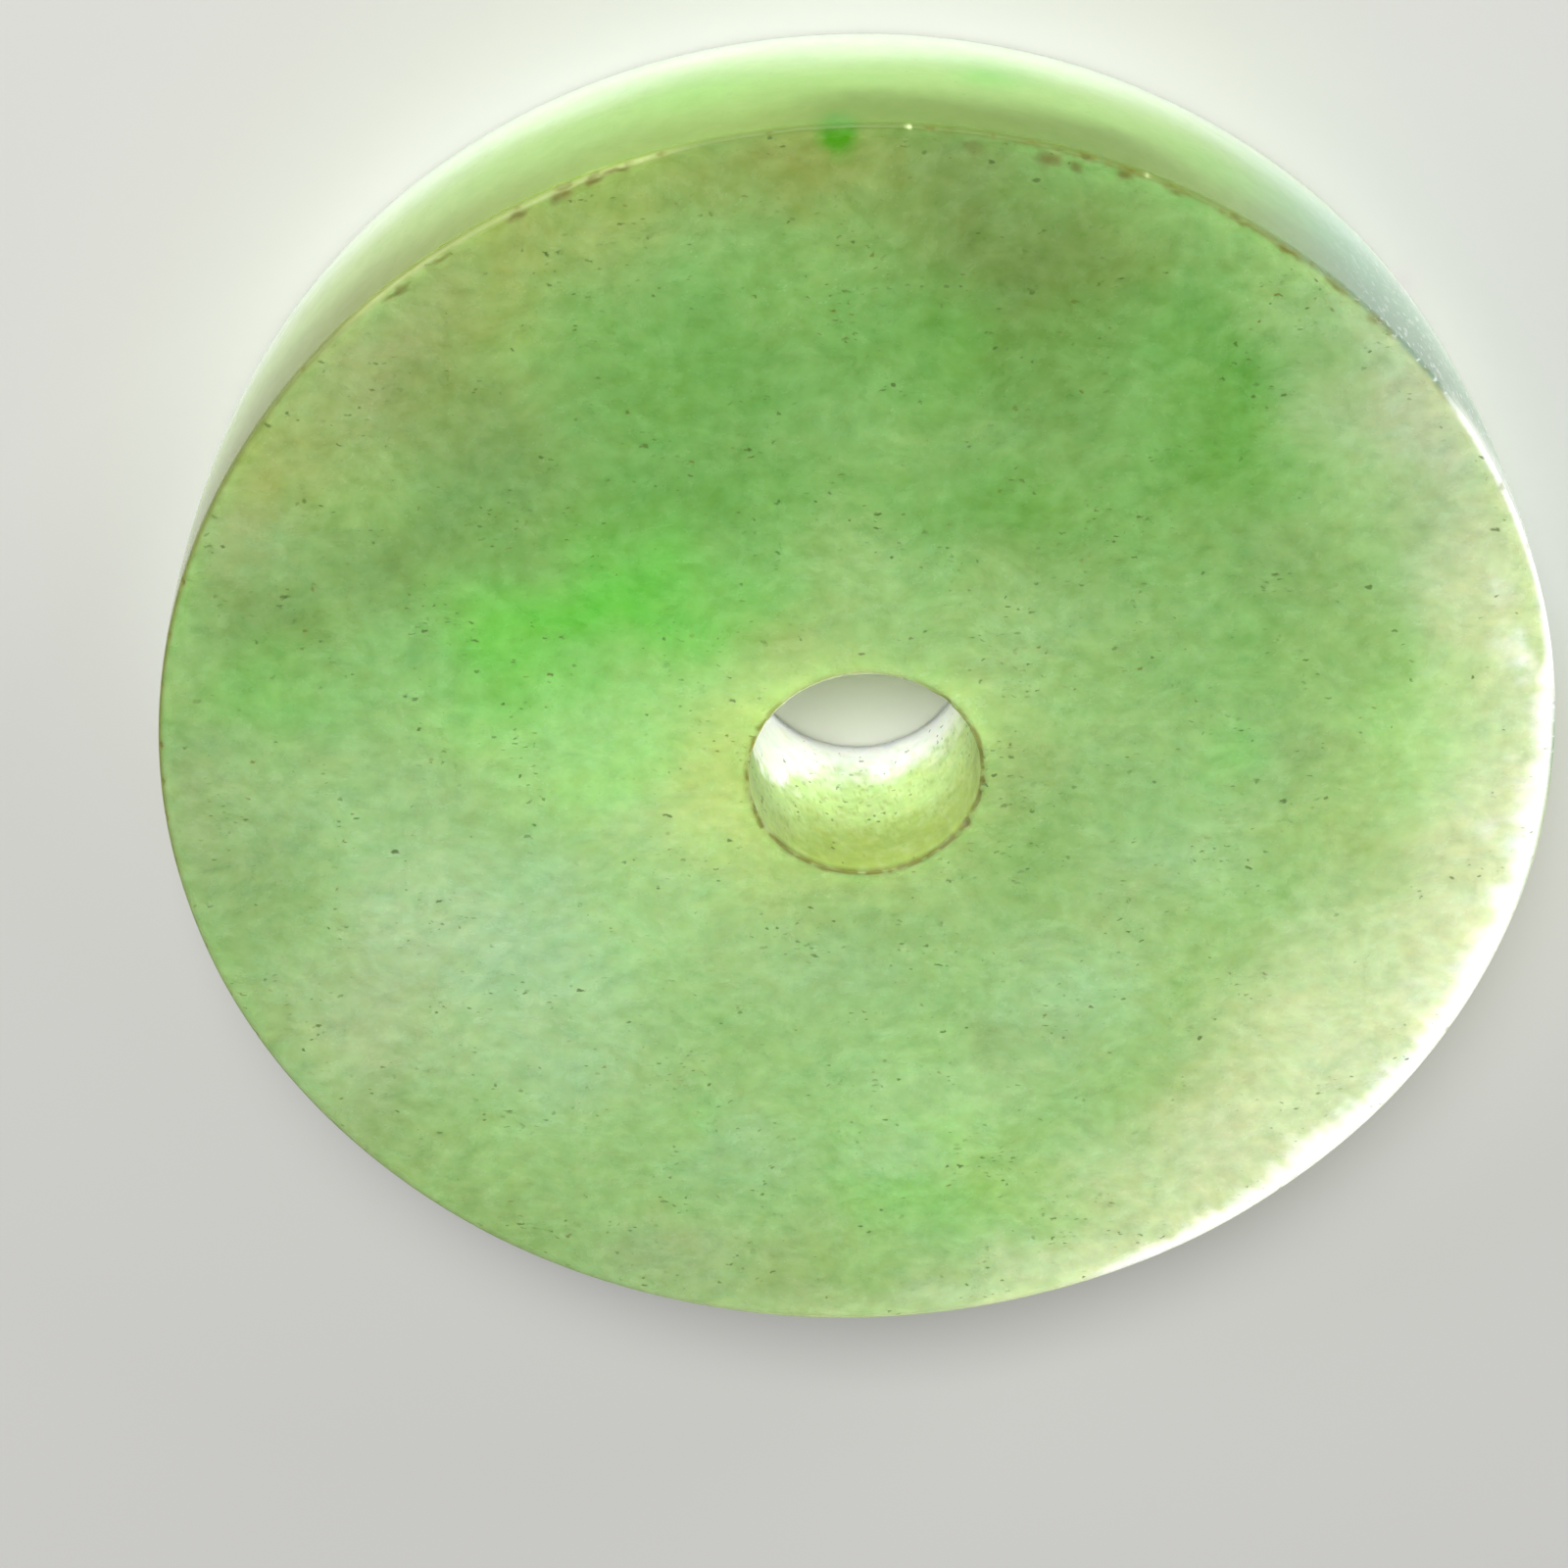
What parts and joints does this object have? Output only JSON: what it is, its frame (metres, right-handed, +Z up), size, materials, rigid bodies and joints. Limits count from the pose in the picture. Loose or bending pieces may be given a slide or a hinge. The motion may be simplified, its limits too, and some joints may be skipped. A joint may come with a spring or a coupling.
{
  "type": "jade donut pendant",
  "caption": "Thick round disc of polished mottled green jade with a plain round hole near its centre for a cord.",
  "frame": {"origin": "centre of the disc's round outline on its underside, the face that it lies on", "axes": "+Z up through the disc's thickness, +X and +Y right and up on the front face as the picture shows it"},
  "size_m": [0.05, 0.05, 0.0088],
  "materials": {
    "jade": "polished translucent jadeite, apple green clouded with cream, with rust-brown stains at its edges"
  },
  "bodies": {
    "root": {"jade_disc": "jade"}
  },
  "joints": []
}
